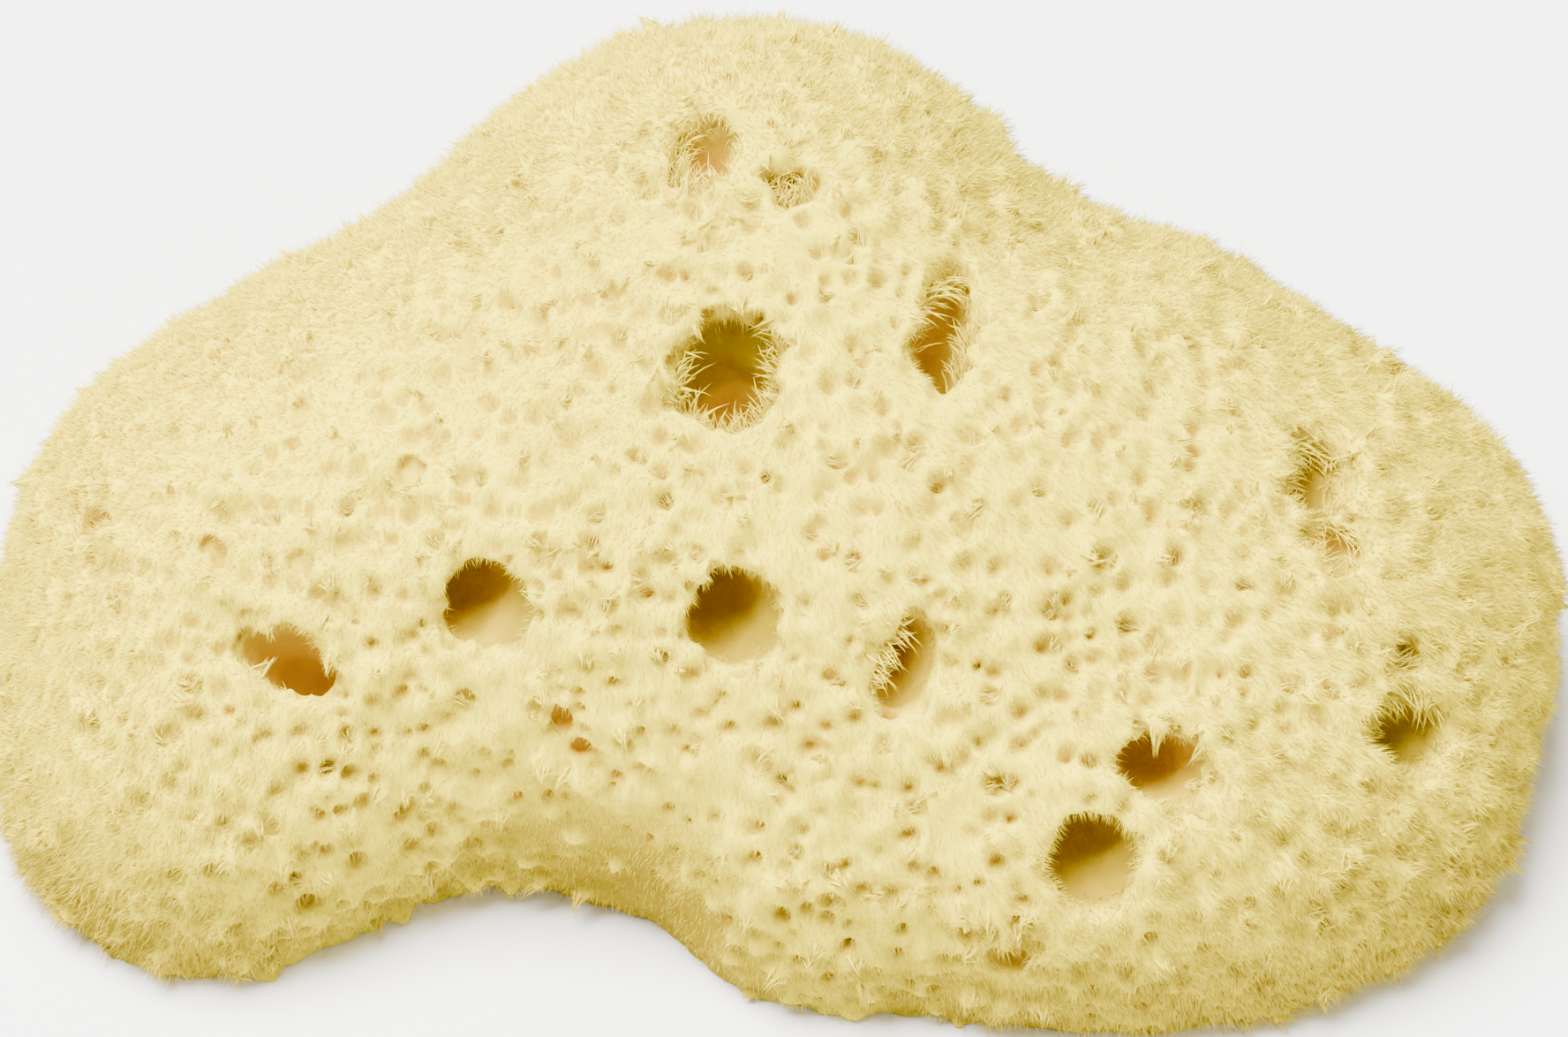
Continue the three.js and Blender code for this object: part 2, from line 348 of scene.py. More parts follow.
    # loose crumbs are dropped: only the largest island stays
    island = addNode(tree, "GeometryNodeInputMeshIsland").outputs["Island Index"]
    size = addNode(tree, "GeometryNodeAccumulateField", {"data_type": "INT", "domain": "POINT"},
                   {"Value": 1, "Group ID": island}).outputs["Total"]
    largest = addNode(tree, "GeometryNodeAttributeStatistic", floatOnPoints,
                      {"Geometry": mesh, "Attribute": size}).outputs["Max"]
    smaller = addNode(tree, "FunctionNodeCompare", {"data_type": "FLOAT", "operation": "LESS_THAN"},
                      {"A": size, "B": largest}).outputs[0]
    kept = addNode(tree, "GeometryNodeDeleteGeometry", {"domain": "POINT"},
                   {"Geometry": mesh, "Selection": smaller}).outputs[0]
    marked = addNode(tree, storeNamed, floatOnPoints,
                     {"Geometry": kept, "Name": "canal", "Value": canal}).outputs[0]
    marked = addNode(tree, storeNamed, floatOnPoints,
                     {"Geometry": marked, "Name": "spire", "Value": spire}).outputs[0]
    marked = addNode(tree, storeNamed, floatOnPoints,
                     {"Geometry": marked, "Name": "porous", "Value": porous}).outputs[0]
    addNode(tree, "NodeGroupOutput", None, {0: marked})
    return tree


def makeSource():
    # a merged copy of the CAD solid
    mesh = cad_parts["sponge"].data.copy()
    mesh.materials.clear()
    bm = bmesh.new()
    bm.from_mesh(mesh)
    bmesh.ops.remove_doubles(bm, verts=bm.verts, dist=0.001 * mm)
    bm.to_mesh(mesh)
    bm.free()
    source = bpy.data.objects.new("source", mesh)
    bpy.context.scene.collection.objects.link(source)
    return source


def makeBody(source):
    runTree(source, bodyTree(), body)
    grown = freeze(source, "grown")
    source.modifiers.clear()
    triangles = sum(len(p.vertices) - 2 for p in grown.data.polygons)
    report(f"body grown, {triangles} triangles")
    if triangles > growth["triangles"]:
        thin = grown.modifiers.new("thin", "DECIMATE")
        thin.ratio = growth["triangles"] / triangles
    result = freeze(grown, "thinned")
    discard(grown)
    result.data.shade_smooth()
    report(f"body thinned, {len(result.data.polygons)} faces")
    return result


# How open each point of the finished skin lies to the sky around it, from rays.
openness = {"Rays": 28, "Reach": 7 * mm, "Lift": 0.06 * mm, "Blur": 2}
# painted shade: the skin is painted darker towards the cut base
paintedBaseShade = {"top": 14 * mm, "bottom": 3 * mm, "shade": -0.35, "tone": 0.75}


def opennessTree():
    tree, given = startTree("readOpenness", openness)
    normal = addNode(tree, "GeometryNodeInputNormal").outputs[0]
    position = addNode(tree, "GeometryNodeInputPosition").outputs[0]
    start = addNode(tree, "GeometryNodeRepeatInput")
    end = addNode(tree, "GeometryNodeRepeatOutput")
    start.pair_with_output(end)
    end.repeat_items.new("FLOAT", "Sum")
    tree.links.new(given["Geometry"], start.inputs["Geometry"])
    tree.links.new(given["Rays"], start.inputs["Iterations"])
    spread = addNode(tree, randomValue, oneVector,
                     {"Min": (-1.0,) * 3, "Max": (1.0,) * 3, "Seed": start.outputs["Iteration"]}).outputs[0]
    anyWay = addNode(tree, vector, unit, {0: spread}).outputs[0]
    aim = addNode(tree, vector, plus, {0: normal, 1: anyWay}).outputs[0]
    lift = addNode(tree, vector, stretch, {0: normal, "Scale": given["Lift"]}).outputs[0]
    origin = addNode(tree, vector, plus, {0: position, 1: lift}).outputs[0]
    ray = addNode(tree, "GeometryNodeRaycast", None,
                  {"Target Geometry": start.outputs["Geometry"], "Source Position": origin,
                   "Ray Direction": aim, "Ray Length": given["Reach"]})
    share = addNode(tree, scalar, over,
                    {0: ray.outputs["Hit Distance"], 1: given["Reach"]}).outputs[0]
    seen = addNode(tree, "GeometryNodeSwitch", {"input_type": "FLOAT"},
                   {"Switch": ray.outputs["Is Hit"], "False": 1.0, "True": share}).outputs[0]
    total = addNode(tree, scalar, plus, {0: start.outputs["Sum"], 1: seen}).outputs[0]
    tree.links.new(start.outputs["Geometry"], end.inputs["Geometry"])
    tree.links.new(total, end.inputs["Sum"])
    mean = addNode(tree, scalar, over, {0: end.outputs["Sum"], 1: given["Rays"]}).outputs[0]
    even = addNode(tree, "GeometryNodeBlurAttribute", oneFloat,
                   {"Value": mean, "Iterations": given["Blur"]}).outputs[0]
    stored = addNode(tree, storeNamed, floatOnPoints,
                     {"Geometry": end.outputs["Geometry"], "Name": "openness", "Value": even}).outputs[0]
    # painted shade: the stored shade is the openness, lowered towards the cut base
    height = addNode(tree, splitAxes, None, {0: position}).outputs[2]
    low = addNode(tree, mapRange, softly,
                  {"Value": height, "From Min": paintedBaseShade["top"], "From Max": paintedBaseShade["bottom"],
                   "To Max": paintedBaseShade["shade"]}).outputs[0]
    shade = addNode(tree, scalar, plus, {0: even, 1: low}).outputs[0]
    stored = addNode(tree, storeNamed, floatOnPoints,
                     {"Geometry": stored, "Name": "shade", "Value": shade}).outputs[0]
    # thinning leaves nothing below the cut base
    rested = addNode(tree, vector, higher, {0: position, 1: (-1.0, -1.0, 0.0)}).outputs[0]
    settled = addNode(tree, setPosition, None, {"Geometry": stored, "Position": rested}).outputs[0]
    addNode(tree, "NodeGroupOutput", None, {0: settled})
    return tree


def readOpenness(grown):
    runTree(grown, opennessTree(), openness)
    result = freeze(grown, "sponge_body")
    discard(grown)
    report("openness read")
    return result


source = makeSource()
spongeBody = readOpenness(makeBody(source))
discard(source)

# Spongin is a horn-like protein fibre. Bleached and dry it is cream and matt. Light passes about half a
# millimetre into the felt; the amber that comes back from the pores and the canals is painted into the
# colours, as painted shade and painted glow.
spongin = {
    "cream": "#f0de12",
    "straw": "#e2cc00",
    "amber": "#d6b800",
    "brown": "#bc9200",
    "shadedTip": "#bea252",  # tip of a strand whose root lies in painted shade
    "tip": "#f9e226",
    "litWallPaintedDark": "#988000",  # of a canal wall open to the light, painted darker
    "midWallPaintedGlow": "#dcb800",
    "shadedWallPaintedGlow": "#e4be00",
    # painted shade deep inside a canal
    "paintedDeepShade": "#d0ac00",
    "roughness": 0.85,
    "ior": 1.54,
    "specular": 0.03,  # the felt scatters nearly all of its shine
    "subsurface": 0.3,
    "scatter": (1.0, 0.9, 0.3),  # how far red, green and blue travel, as shares of the scale
    "scatterScale": 0.5 * mm,
    "fibreGrain": 0.12 * mm,  # felt of single fibres, drawn a few times coarser than real
    "grainHeight": 0.05 * mm,
    "grainStrength": 0.5,
    "patchSize": 6 * mm,
    "patchTone": (0.92, 1.04),
    "wallFrom": 0.6 * mm,  # canal depth where the amber starts
    "wallTo": 1.5 * mm,
    # painted shade: canal depth where the deep shade starts and where it is full
    "deepShadeFrom": 5.2 * mm,
    "deepShadeTo": 6.0 * mm,
    "strandFade": (0.1, 0.75),  # how much of the tip's colour a strand has, at its root and its tip
}


def startSpongin(name):
    material = bpy.data.materials.new(name)
    material.use_nodes = True
    shader = material.node_tree.nodes["Principled BSDF"]
    shader.inputs["Roughness"].default_value = spongin["roughness"]
    shader.inputs["IOR"].default_value = spongin["ior"]
    shader.inputs["Specular IOR Level"].default_value = spongin["specular"]
    shader.inputs["Subsurface Weight"].default_value = spongin["subsurface"]
    shader.inputs["Subsurface Radius"].default_value = spongin["scatter"]
    shader.inputs["Subsurface Scale"].default_value = spongin["scatterScale"]
    return material, material.node_tree, shader


# how open a place lies, and the colour painted there: painted shade, browner in hollows and towards the cut
# base, and painted amber glow on canal walls
skinPaintedShadeStops = ((0.05, "brown"), (0.25, "amber"), (0.5, "straw"), (0.85, "cream"))
# painted light: a canal wall is painted brighter amber where it lies in shade, as glow, and darker where it
# lies open to the light
wallPaintedGlowStops = ((0.15, "shadedWallPaintedGlow"), (0.5, "midWallPaintedGlow"), (0.8, "litWallPaintedDark"))
tipPaintedShadeStops = ((0.5, "shadedTip"), (0.9, "tip"))


def addRamp(tree, value, stops):
    ramp = addNode(tree, "ShaderNodeValToRGB", None, {"Fac": value})
    elements = ramp.color_ramp.elements
    elements.remove(elements[1])
    for number, (stop, colour) in enumerate(stops):
        element = elements.new(stop) if number else elements[0]
        element.position = stop
        element.color = linear(spongin[colour])
    return ramp.outputs["Color"]


def skinMaterial():
    material, tree, shader = startSpongin("bleachedSponginSkin")
    place = addNode(tree, "ShaderNodeTexCoord").outputs["Object"]
    shade = addNode(tree, "ShaderNodeAttribute", {"attribute_name": "shade"}).outputs["Fac"]
    openTo = addNode(tree, "ShaderNodeAttribute", {"attribute_name": "openness"}).outputs["Fac"]
    canal = addNode(tree, "ShaderNodeAttribute", {"attribute_name": "canal"}).outputs["Fac"]
    # a canal's wall is painted amber glow from just inside its mouth, and its far end gets painted deep
    # shade, browner, with an edge
    inside = addNode(tree, mapRange, softly,
                     {"Value": canal,
                      "From Min": spongin["wallFrom"], "From Max": spongin["wallTo"]}).outputs[0]
    far = addNode(tree, mapRange, softly,
                  {"Value": canal,
                   "From Min": spongin["deepShadeFrom"], "From Max": spongin["deepShadeTo"]}).outputs[0]
    deepShaded = addNode(tree, "ShaderNodeMix", {"data_type": "RGBA"},
                      {0: far, 6: addRamp(tree, openTo, wallPaintedGlowStops), 7: linear(spongin["paintedDeepShade"])}).outputs[2]
    walled = addNode(tree, "ShaderNodeMix", {"data_type": "RGBA"},
                     {0: inside, 6: addRamp(tree, shade, skinPaintedShadeStops), 7: deepShaded}).outputs[2]
    # soft patches of straw over the cream
    patches = addNode(tree, "ShaderNodeTexNoise", None,
                      {"Vector": place, "Scale": 1 / spongin["patchSize"], "Detail": 3.0})
    faint, strong = spongin["patchTone"]
    tone = addNode(tree, mapRange, None,
                   {"Value": patches.outputs[0], "From Min": 0.3, "From Max": 0.7,
                    "To Min": faint, "To Max": strong})
    # painted shade: the colour is darkened towards the cut base
    height = addNode(tree, splitAxes, None, {0: place}).outputs[2]
    low = addNode(tree, mapRange, softly,
                  {"Value": height, "From Min": paintedBaseShade["top"], "From Max": paintedBaseShade["bottom"],
                   "To Min": 1.0, "To Max": paintedBaseShade["tone"]}).outputs[0]
    both = addNode(tree, scalar, times, {0: tone.outputs[0], 1: low}).outputs[0]
    mixed = addNode(tree, "ShaderNodeMix", {"data_type": "RGBA", "blend_type": "MULTIPLY"},
                    {0: 1.0, 6: walled, 7: both})
    tree.links.new(mixed.outputs[2], shader.inputs["Base Color"])
    grain = addNode(tree, "ShaderNodeTexNoise", None,
                    {"Vector": place, "Scale": 1 / spongin["fibreGrain"], "Detail": 2.0})
    bump = addNode(tree, "ShaderNodeBump", None,
                   {"Height": grain.outputs[0], "Strength": spongin["grainStrength"],
                    "Distance": spongin["grainHeight"]})
    tree.links.new(bump.outputs[0], shader.inputs["Normal"])
    return material


def fibreMaterial():
    # a strand's map runs root to tip in U, and V is its root's painted shade: how open the root lies,
    # darker towards the cut base
    material, tree, shader = startSpongin("bleachedSponginFibre")
    shader.inputs["Subsurface Weight"].default_value = 0.0
    strand = addNode(tree, "ShaderNodeUVMap", {"uv_map": "OFBake"}).outputs[0]
    along = addNode(tree, splitAxes, None, {0: strand}).outputs
    atRoot, atTip = spongin["strandFade"]
    fade = addNode(tree, mapRange, None, {"Value": along[0], "To Min": atRoot, "To Max": atTip})
    rootColour = addRamp(tree, along[1], skinPaintedShadeStops)
    tipColour = addRamp(tree, along[1], tipPaintedShadeStops)
    mixed = addNode(tree, "ShaderNodeMix", {"data_type": "RGBA"},
                    {0: fade.outputs[0], 6: rootColour, 7: tipColour})
    tree.links.new(mixed.outputs[2], shader.inputs["Base Color"])
    return material


def finishPiece(piece, material):
    piece.data.materials.clear()
    piece.data.materials.append(material)
    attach(piece, "root")
    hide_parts("sponge")


fibre = fibreMaterial()
mapEdge = 0.02  # strands keep this far from the edges of their map
mapWidth = 0.01  # half a strand's width in its map
mapLean = 0.3
baseGap = 0.02 * mm  # and this far above the cut base


def addStrand(tree, width, bend, joints):
    # one closed three-sided strand, a unit tall, with its map position in "strandUv"
    cone = addNode(tree, "GeometryNodeMeshCone", {"fill_type": "NGON"},
                   {"Vertices": 3, "Side Segments": joints, "Radius Top": 0.0, "Radius Bottom": 1.0,
                    "Depth": 1.0})
    position = addNode(tree, "GeometryNodeInputPosition").outputs[0]
    place = addNode(tree, splitAxes, None, {0: position}).outputs
    # each of the three sides gets a little width of its own in the map
    lean = addNode(tree, scalar, timesPlus, {0: place[0], 1: mapLean, 2: place[1]}).outputs[0]
    split = addNode(tree, scalar, times, {0: lean, 1: mapWidth}).outputs[0]
    uv = addNode(tree, joinAxes, None, {0: place[2], 1: split}).outputs[0]
    marked = addNode(tree, storeNamed, vectorOnPoints,
                     {"Geometry": cone.outputs[0], "Name": "strandUv", "Value": uv}).outputs[0]
    thin = addNode(tree, joinAxes, None, {0: width, 1: width, 2: 1.0}).outputs[0]
    slim = addNode(tree, "GeometryNodeTransform", None, {"Geometry": marked, "Scale": thin}).outputs[0]
    rise = addNode(tree, scalar, times, {0: place[2], 1: place[2]}).outputs[0]
    push = addNode(tree, scalar, times, {0: rise, 1: bend}).outputs[0]
    away = addNode(tree, joinAxes, None, {0: push}).outputs[0]
    return addNode(tree, setPosition, None, {"Geometry": slim, "Offset": away}).outputs[0]


def addStrands(tree, points, strand, aim, length, seed, lift=0.0):
    # strands stand on points along an aim, realized, with their map and material; lift paints them lighter,
    # out of part of their roots' painted shade
    turned = addNode(tree, "FunctionNodeAlignRotationToVector", {"axis": "Z"}, {"Vector": aim}).outputs[0]
    spin = addNode(tree, randomValue, oneFloat, {2: 0.0, 3: math.tau, "Seed": seed}).outputs[1]
    roll = addNode(tree, joinAxes, None, {2: spin}).outputs[0]
    rolled = addNode(tree, "FunctionNodeRotateRotation", {"rotation_space": "LOCAL"},
                     {0: turned, 1: roll}).outputs[0]
    placed = addNode(tree, "GeometryNodeInstanceOnPoints", None,
                     {"Points": points, "Instance": strand, "Rotation": rolled, "Scale": length}).outputs[0]
    real = addNode(tree, "GeometryNodeRealizeInstances", None, {0: placed}).outputs[0]
    uv = addNode(tree, readNamed, oneVector, {"Name": "strandUv"}).outputs[0]
    shade = addNode(tree, readNamed, oneFloat, {"Name": "shade"}).outputs[0]
    safe = addNode(tree, mapRange, None,
                   {"Value": shade, "From Min": -lift, "From Max": 1.0 - lift,
                    "To Min": mapEdge, "To Max": 1.0 - mapEdge}).outputs[0]
    lifted = addNode(tree, joinAxes, None, {1: safe}).outputs[0]
    total = addNode(tree, vector, plus, {0: uv, 1: lifted}).outputs[0]
    mapped = addNode(tree, storeNamed, {"data_type": "FLOAT2", "domain": "CORNER"},
                     {"Geometry": real, "Name": "OFBake", "Value": total}).outputs[0]
    # nothing reaches below the cut base
    spot = addNode(tree, "GeometryNodeInputPosition").outputs[0]
    tall = addNode(tree, vector, higher, {0: spot, 1: (-1.0, -1.0, baseGap)}).outputs[0]
    standing = addNode(tree, setPosition, None, {"Geometry": mapped, "Position": tall}).outputs[0]
    shaded = addNode(tree, "GeometryNodeSetShadeSmooth", None, {"Geometry": standing}).outputs[0]
    coated = addNode(tree, "GeometryNodeSetMaterial", None,
                     {"Geometry": shaded, "Material": fibre}).outputs[0]
    addNode(tree, "NodeGroupOutput", None, {0: coated})


def makeFibres(name, tree, sizes):
    # run a fibre tree on the body, and take the result off as a piece
    spongeBody.modifiers.clear()
    runTree(spongeBody, tree, sizes)
    piece = freeze(spongeBody, name)
    spongeBody.modifiers.clear()
    for attribute in ("canal", "spire", "porous", "openness", "shade", "strandUv", "outward"):
        if attribute in piece.data.attributes:
            piece.data.attributes.remove(piece.data.attributes[attribute])
    finishPiece(piece, fibre)
    report(f"{name}, {sum(len(p.vertices) - 2 for p in piece.data.polygons)} triangles")


# The nap: short single fibres all over the skin, combed in soft swirls.
nap = {
    "Density": 4.5e6,  # per square metre
    "Length": 0.75 * mm,
    "Width": 0.042,  # root radius as a share of the length
    "Bend": 0.25,
    "Comb": 0.9,
    "Comb Size": 4.0 * mm,
    "Seed": 1,
}
# where the nap thins out, and how its strands differ
napReach = {
    "wall": (2.0 * mm, 0.6 * mm),  # canal depth, from bare to full
    "base": (0.3 * mm, 0.8 * mm),  # height above the cut base
    "open": (0.55, 0.75),  # openness, so that pores stay clear
    "sizes": (0.5, 1.3),  # length as a share of the usual
    "stray": 0.6,  # how far a single strand leans away from its neighbours
    "swirl": 2.0,  # how far the swirls lean it
    "sag": 8 * mm,  # the strands droop outward and down, more so near the middle
    "shaggy": (1.25, 0.75),  # length on the flanks and on the crown
}


def napTree():
    tree, given = startTree("combNap", nap)
    canal = addNode(tree, readNamed, oneFloat, {"Name": "canal"}).outputs[0]
    position = addNode(tree, "GeometryNodeInputPosition").outputs[0]
    outside = addNode(tree, mapRange, None,
                      {"Value": canal,
                       "From Min": napReach["wall"][0], "From Max": napReach["wall"][1]}).outputs[0]
    height = addNode(tree, splitAxes, None, {0: position}).outputs[2]
    above = addNode(tree, mapRange, None,
                    {"Value": height,
                     "From Min": napReach["base"][0], "From Max": napReach["base"][1]}).outputs[0]
    share = addNode(tree, scalar, times, {0: outside, 1: above}).outputs[0]
    openTo = addNode(tree, readNamed, oneFloat, {"Name": "openness"}).outputs[0]
    clear = addNode(tree, mapRange, None,
                    {"Value": openTo,
                     "From Min": napReach["open"][0], "From Max": napReach["open"][1]}).outputs[0]
    share = addNode(tree, scalar, times, {0: share, 1: clear}).outputs[0]
    density = addNode(tree, scalar, times, {0: share, 1: given["Density"]}).outputs[0]
    spread = addNode(tree, "GeometryNodeDistributePointsOnFaces", {"distribute_method": "RANDOM"},
                     {"Mesh": given["Geometry"], "Density": density, "Seed": given["Seed"]})
    combSize = addNode(tree, scalar, over, {0: 1.0, 1: given["Comb Size"]}).outputs[0]
    swirl = addNode(tree, "ShaderNodeTexNoise", None,
                    {"Vector": position, "Scale": combSize, "Detail": 2.0}).outputs["Color"]
    flat = addNode(tree, vector, times, {0: position, 1: (1.0, 1.0, 0.0)}).outputs[0]
    sagged = addNode(tree, vector, minus, {0: flat, 1: (0.0, 0.0, napReach["sag"])}).outputs[0]
    away = addNode(tree, vector, unit, {0: sagged}).outputs[0]
    swirled = addNode(tree, vector, timesPlus,
                      {0: swirl, 1: (2 * napReach["swirl"],) * 3, 2: (-napReach["swirl"],) * 3}).outputs[0]
    centred = addNode(tree, vector, plus, {0: swirled, 1: away}).outputs[0]
    stray = addNode(tree, randomValue, oneVector,
                    {"Min": (-napReach["stray"],) * 3, "Max": (napReach["stray"],) * 3,
                     "Seed": given["Seed"]}).outputs[0]
    messy = addNode(tree, vector, plus, {0: centred, 1: stray}).outputs[0]
    combed = addNode(tree, vector, stretch, {0: messy, "Scale": given["Comb"]}).outputs[0]
    aim = addNode(tree, vector, plus, {0: combed, 1: spread.outputs["Normal"]}).outputs[0]
    size = addNode(tree, randomValue, oneFloat,
                   {2: napReach["sizes"][0], 3: napReach["sizes"][1], "Seed": given["Seed"]}).outputs[1]
    porous = addNode(tree, readNamed, oneFloat, {"Name": "porous"}).outputs[0]
    shaggy = addNode(tree, mapRange, None,
                     {"Value": porous,
                      "To Min": napReach["shaggy"][0], "To Max": napReach["shaggy"][1]}).outputs[0]
    size = addNode(tree, scalar, times, {0: size, 1: shaggy}).outputs[0]
    length = addNode(tree, scalar, times, {0: size, 1: given["Length"]}).outputs[0]
    strand = addStrand(tree, given["Width"], given["Bend"], 1)
    addStrands(tree, spread.outputs["Points"], strand, aim, length, given["Seed"])
    return tree


napSheets = 5


def makeNap():
    tree = napTree()
    for sheet in range(napSheets):
        makeFibres(f"nap_{sheet + 1}", tree, {**nap, "Seed": nap["Seed"] + sheet})


# The tips: strands that lean together into a point over each spire of the skin.
tuft = {
    "Spacing": 1.3 * mm,
    "Density": 30.0e6,
    "Strands": 10,
    "Spread": 0.5 * mm,
    "Root Depth": 0.4 * mm,
    "Height": 1.0 * mm,
    "Width": 0.07,
    "Bend": 0.12,
    "Seed": 11,
}
tuftReach = {
    "peak": (0.25, 0.5),  # how near a tip's middle, from bare to full
    "wall": (0.8 * mm, 0.4 * mm),  # canal depth
    "base": (0.5 * mm, 1.0 * mm),  # height above the cut base
    "sizes": (0.7, 1.25),  # length as a share of the usual
    "stray": 0.12 * mm,  # how far a strand's tip misses its tuft's point
}


def tuftTree():
    tree, given = startTree("gatherTufts", tuft)
    spire = addNode(tree, readNamed, oneFloat, {"Name": "spire"}).outputs[0]
    canal = addNode(tree, readNamed, oneFloat, {"Name": "canal"}).outputs[0]
    peak = addNode(tree, mapRange, None,
                   {"Value": spire,
                    "From Min": tuftReach["peak"][0], "From Max": tuftReach["peak"][1]}).outputs[0]
    outside = addNode(tree, mapRange, None,
                      {"Value": canal,
                       "From Min": tuftReach["wall"][0], "From Max": tuftReach["wall"][1]}).outputs[0]
    position = addNode(tree, "GeometryNodeInputPosition").outputs[0]
    height = addNode(tree, splitAxes, None, {0: position}).outputs[2]
    above = addNode(tree, mapRange, None,
                    {"Value": height,
                     "From Min": tuftReach["base"][0], "From Max": tuftReach["base"][1]}).outputs[0]
    share = addNode(tree, scalar, times, {0: peak, 1: outside}).outputs[0]
    share = addNode(tree, scalar, times, {0: share, 1: above}).outputs[0]
    spread = addNode(tree, "GeometryNodeDistributePointsOnFaces", {"distribute_method": "POISSON"},
                     {"Mesh": given["Geometry"], "Distance Min": given["Spacing"],
                      "Density Max": given["Density"], "Density Factor": share, "Seed": given["Seed"]})
    # the normal is kept on each point before it is doubled into strands
    named = addNode(tree, storeNamed, vectorOnPoints,
                    {"Geometry": spread.outputs["Points"], "Name": "outward",
                     "Value": spread.outputs["Normal"]})
    many = addNode(tree, "GeometryNodeDuplicateElements", {"domain": "POINT"},
                   {"Geometry": named.outputs[0], "Amount": given["Strands"]}).outputs["Geometry"]
    outward = addNode(tree, readNamed, oneVector, {"Name": "outward"}).outputs[0]
    scatter = addNode(tree, randomValue, oneVector,
                      {"Min": (-1.0,) * 3, "Max": (1.0,) * 3, "Seed": given["Seed"]}).outputs[0]
    aside = addNode(tree, vector, {"operation": "CROSS_PRODUCT"}, {0: scatter, 1: outward}).outputs[0]
    wide = addNode(tree, vector, stretch, {0: aside, "Scale": given["Spread"]}).outputs[0]
    sunk = addNode(tree, scalar, times, {0: given["Root Depth"], 1: -1.0}).outputs[0]
    down = addNode(tree, vector, stretch, {0: outward, "Scale": sunk}).outputs[0]
    root = addNode(tree, vector, plus, {0: wide, 1: down}).outputs[0]
    moved = addNode(tree, setPosition, None, {"Geometry": many, "Offset": root}).outputs[0]
    up = addNode(tree, vector, stretch, {0: outward, "Scale": given["Height"]}).outputs[0]
    stray = addNode(tree, randomValue, oneVector,
                    {"Min": (-tuftReach["stray"],) * 3, "Max": (tuftReach["stray"],) * 3,
                     "Seed": given["Seed"]}).outputs[0]
    tip = addNode(tree, vector, plus, {0: up, 1: stray}).outputs[0]
    aim = addNode(tree, vector, minus, {0: tip, 1: root}).outputs[0]
    size = addNode(tree, randomValue, oneFloat,
                   {2: tuftReach["sizes"][0], 3: tuftReach["sizes"][1], "Seed": given["Seed"]}).outputs[1]
    # the aim is kept on each strand's point, because its root is moved after it is read
    aimed = addNode(tree, storeNamed, vectorOnPoints,
                    {"Geometry": moved, "Name": "outward", "Value": aim}).outputs[0]
    strand = addStrand(tree, given["Width"], given["Bend"], 2)
    aimNow = addNode(tree, readNamed, oneVector, {"Name": "outward"}).outputs[0]
    fullNow = addNode(tree, vector, {"operation": "LENGTH"}, {0: aimNow}).outputs["Value"]
    length = addNode(tree, scalar, times, {0: fullNow, 1: size}).outputs[0]
    addStrands(tree, aimed, strand, aimNow, length, given["Seed"])
    return tree


# The fringe: longer strands on the rims of some wide canals, reaching over their mouths.
fringe = {
    "Density": 28.0e6,
    "Length": 1.8 * mm,
    "Width": 0.045,
    "Bend": 0.35,
    "Seed": 21,
}
fringeReach = {
    "rim": (0.35 * mm, 0.55 * mm),  # canal depth, from bare to full
    "inner": (1.3 * mm, 0.8 * mm),
    "base": (1.5 * mm, 2.5 * mm),  # height above the cut base
    "edge": 0.75,  # share of a reach that is full
    "core": 8 * mm,  # height of the point that the strands lean away from
    "stray": 0.4,
    "sizes": (0.5, 1.3),
    "lift": 0.4,  # how much of its root's painted shade a strand sheds, so that it is painted lighter
}
# the mouths that keep their fringe: the middle of each fringed stretch of rim, and its reach, in mm
fringedRims = [
    ((-3, -3, 25.5), 5.0),
    ((7, 2, 28), 3.5),
    ((10, -1, 27), 2.5),
    ((-6, 8, 34), 2.5),
    ((0.5, 5, 33), 3.0),
    ((4.5, -17.5, 21), 2.5),
    ((29, -2.5, 22), 3.5),
    ((30, -8, 20.5), 3.0),
    ((34, -17, 15.5), 4.0),
    ((20, -17, 17), 2.5),
]


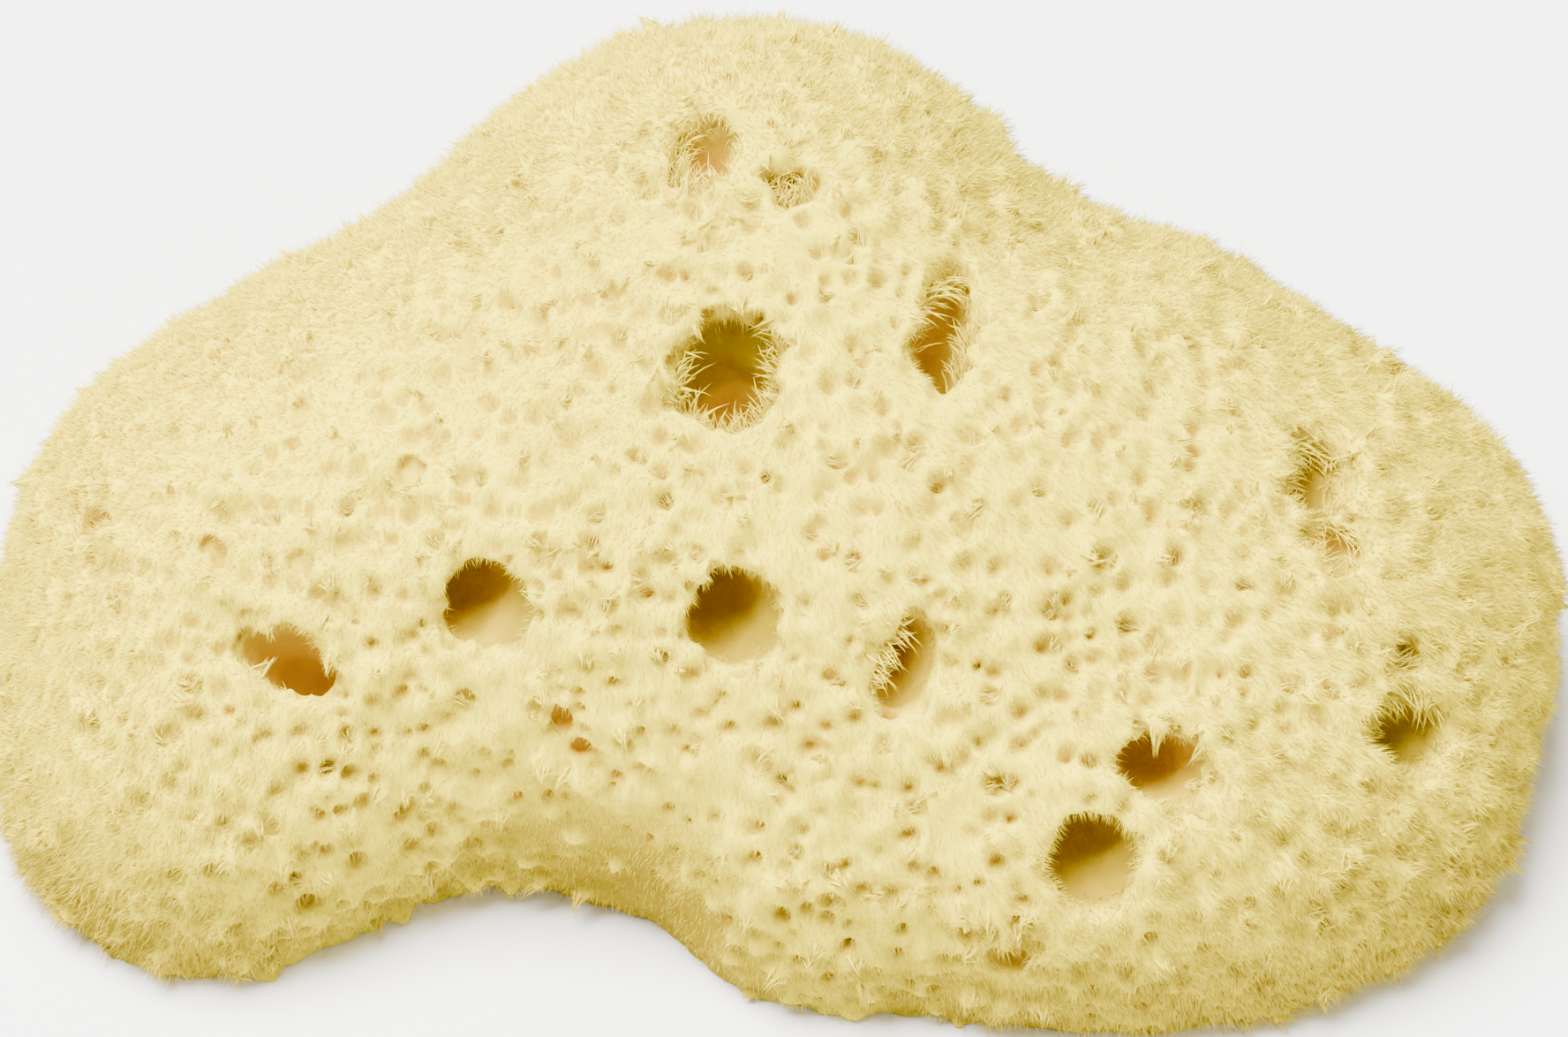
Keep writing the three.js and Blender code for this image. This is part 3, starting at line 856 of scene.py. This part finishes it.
def fringeTree():
    tree, given = startTree("fringeMouths", fringe)
    canal = addNode(tree, readNamed, oneFloat, {"Name": "canal"}).outputs[0]
    position = addNode(tree, "GeometryNodeInputPosition").outputs[0]
    rim = addNode(tree, mapRange, None,
                  {"Value": canal,
                   "From Min": fringeReach["rim"][0], "From Max": fringeReach["rim"][1]}).outputs[0]
    inner = addNode(tree, mapRange, None,
                    {"Value": canal,
                     "From Min": fringeReach["inner"][0], "From Max": fringeReach["inner"][1]}).outputs[0]
    height = addNode(tree, splitAxes, None, {0: position}).outputs[2]
    above = addNode(tree, mapRange, None,
                    {"Value": height,
                     "From Min": fringeReach["base"][0], "From Max": fringeReach["base"][1]}).outputs[0]
    share = addNode(tree, scalar, times, {0: rim, 1: inner}).outputs[0]
    share = addNode(tree, scalar, times, {0: share, 1: above}).outputs[0]
    nearest = 0.0
    for spot, reach in fringedRims:
        gap = addNode(tree, vector, {"operation": "DISTANCE"},
                      {0: position, 1: [c * mm for c in spot]}).outputs["Value"]
        near = addNode(tree, mapRange, None,
                       {"Value": gap, "From Min": reach * mm,
                        "From Max": fringeReach["edge"] * reach * mm}).outputs[0]
        nearest = addNode(tree, scalar, higher, {0: near, 1: nearest}).outputs[0]
    share = addNode(tree, scalar, times, {0: share, 1: nearest}).outputs[0]
    density = addNode(tree, scalar, times, {0: share, 1: given["Density"]}).outputs[0]
    spread = addNode(tree, "GeometryNodeDistributePointsOnFaces", {"distribute_method": "RANDOM"},
                     {"Mesh": given["Geometry"], "Density": density, "Seed": given["Seed"]})
    lift = addNode(tree, vector, minus, {0: position, 1: (0.0, 0.0, fringeReach["core"])}).outputs[0]
    out = addNode(tree, vector, unit, {0: lift}).outputs[0]
    stray = addNode(tree, randomValue, oneVector,
                    {"Min": (-fringeReach["stray"],) * 3, "Max": (fringeReach["stray"],) * 3,
                     "Seed": given["Seed"]}).outputs[0]
    messy = addNode(tree, vector, plus, {0: out, 1: stray}).outputs[0]
    aim = addNode(tree, vector, plus, {0: messy, 1: spread.outputs["Normal"]}).outputs[0]
    size = addNode(tree, randomValue, oneFloat,
                   {2: fringeReach["sizes"][0], 3: fringeReach["sizes"][1],
                    "Seed": given["Seed"]}).outputs[1]
    length = addNode(tree, scalar, times, {0: size, 1: given["Length"]}).outputs[0]
    strand = addStrand(tree, given["Width"], given["Bend"], 3)
    addStrands(tree, spread.outputs["Points"], strand, aim, length, given["Seed"], fringeReach["lift"])
    return tree


makeNap()
makeFibres("tufts", tuftTree(), tuft)
makeFibres("mouth_fringe", fringeTree(), fringe)
finishPiece(spongeBody, skinMaterial())

studio = {"floorSize": 3.0, "floorColour": "#fbfaf8", "floorRoughness": 0.8, "worldStrength": 0.55}


def makeFloor():
    half = studio["floorSize"] / 2
    mesh = bpy.data.meshes.new("floor")
    corners = [(-half, -half, 0), (half, -half, 0), (half, half, 0), (-half, half, 0)]
    mesh.from_pydata(corners, [], [(0, 1, 2, 3)])
    floor = bpy.data.objects.new("floor", mesh)
    bpy.context.scene.collection.objects.link(floor)
    material = bpy.data.materials.new("paleFloor")
    material.use_nodes = True
    shader = material.node_tree.nodes["Principled BSDF"]
    shader.inputs["Base Color"].default_value = linear(studio["floorColour"])
    shader.inputs["Roughness"].default_value = studio["floorRoughness"]
    mesh.materials.append(material)


lamps = {
    "key": {"at": (-0.25, 0.0, 0.9), "size": 0.6, "watts": 57},
    "fill": {"at": (0.5, -0.9, 0.5), "size": 0.9, "watts": 2},
}


def makeLights():
    for name, lamp in lamps.items():
        data = bpy.data.lights.new(name, "AREA")
        data.size = lamp["size"]
        data.energy = lamp["watts"]
        light = bpy.data.objects.new(name, data)
        light.location = lamp["at"]
        light.rotation_euler = (middle - Vector(lamp["at"])).to_track_quat("-Z", "Y").to_euler()
        bpy.context.scene.collection.objects.link(light)
    world = bpy.data.worlds.new("studio")
    world.use_nodes = True
    background = world.node_tree.nodes["Background"]
    background.inputs["Color"].default_value = (1, 1, 1, 1)
    background.inputs["Strength"].default_value = studio["worldStrength"]
    bpy.context.scene.world = world


makeFloor()
makeLights()
report("studio ready")
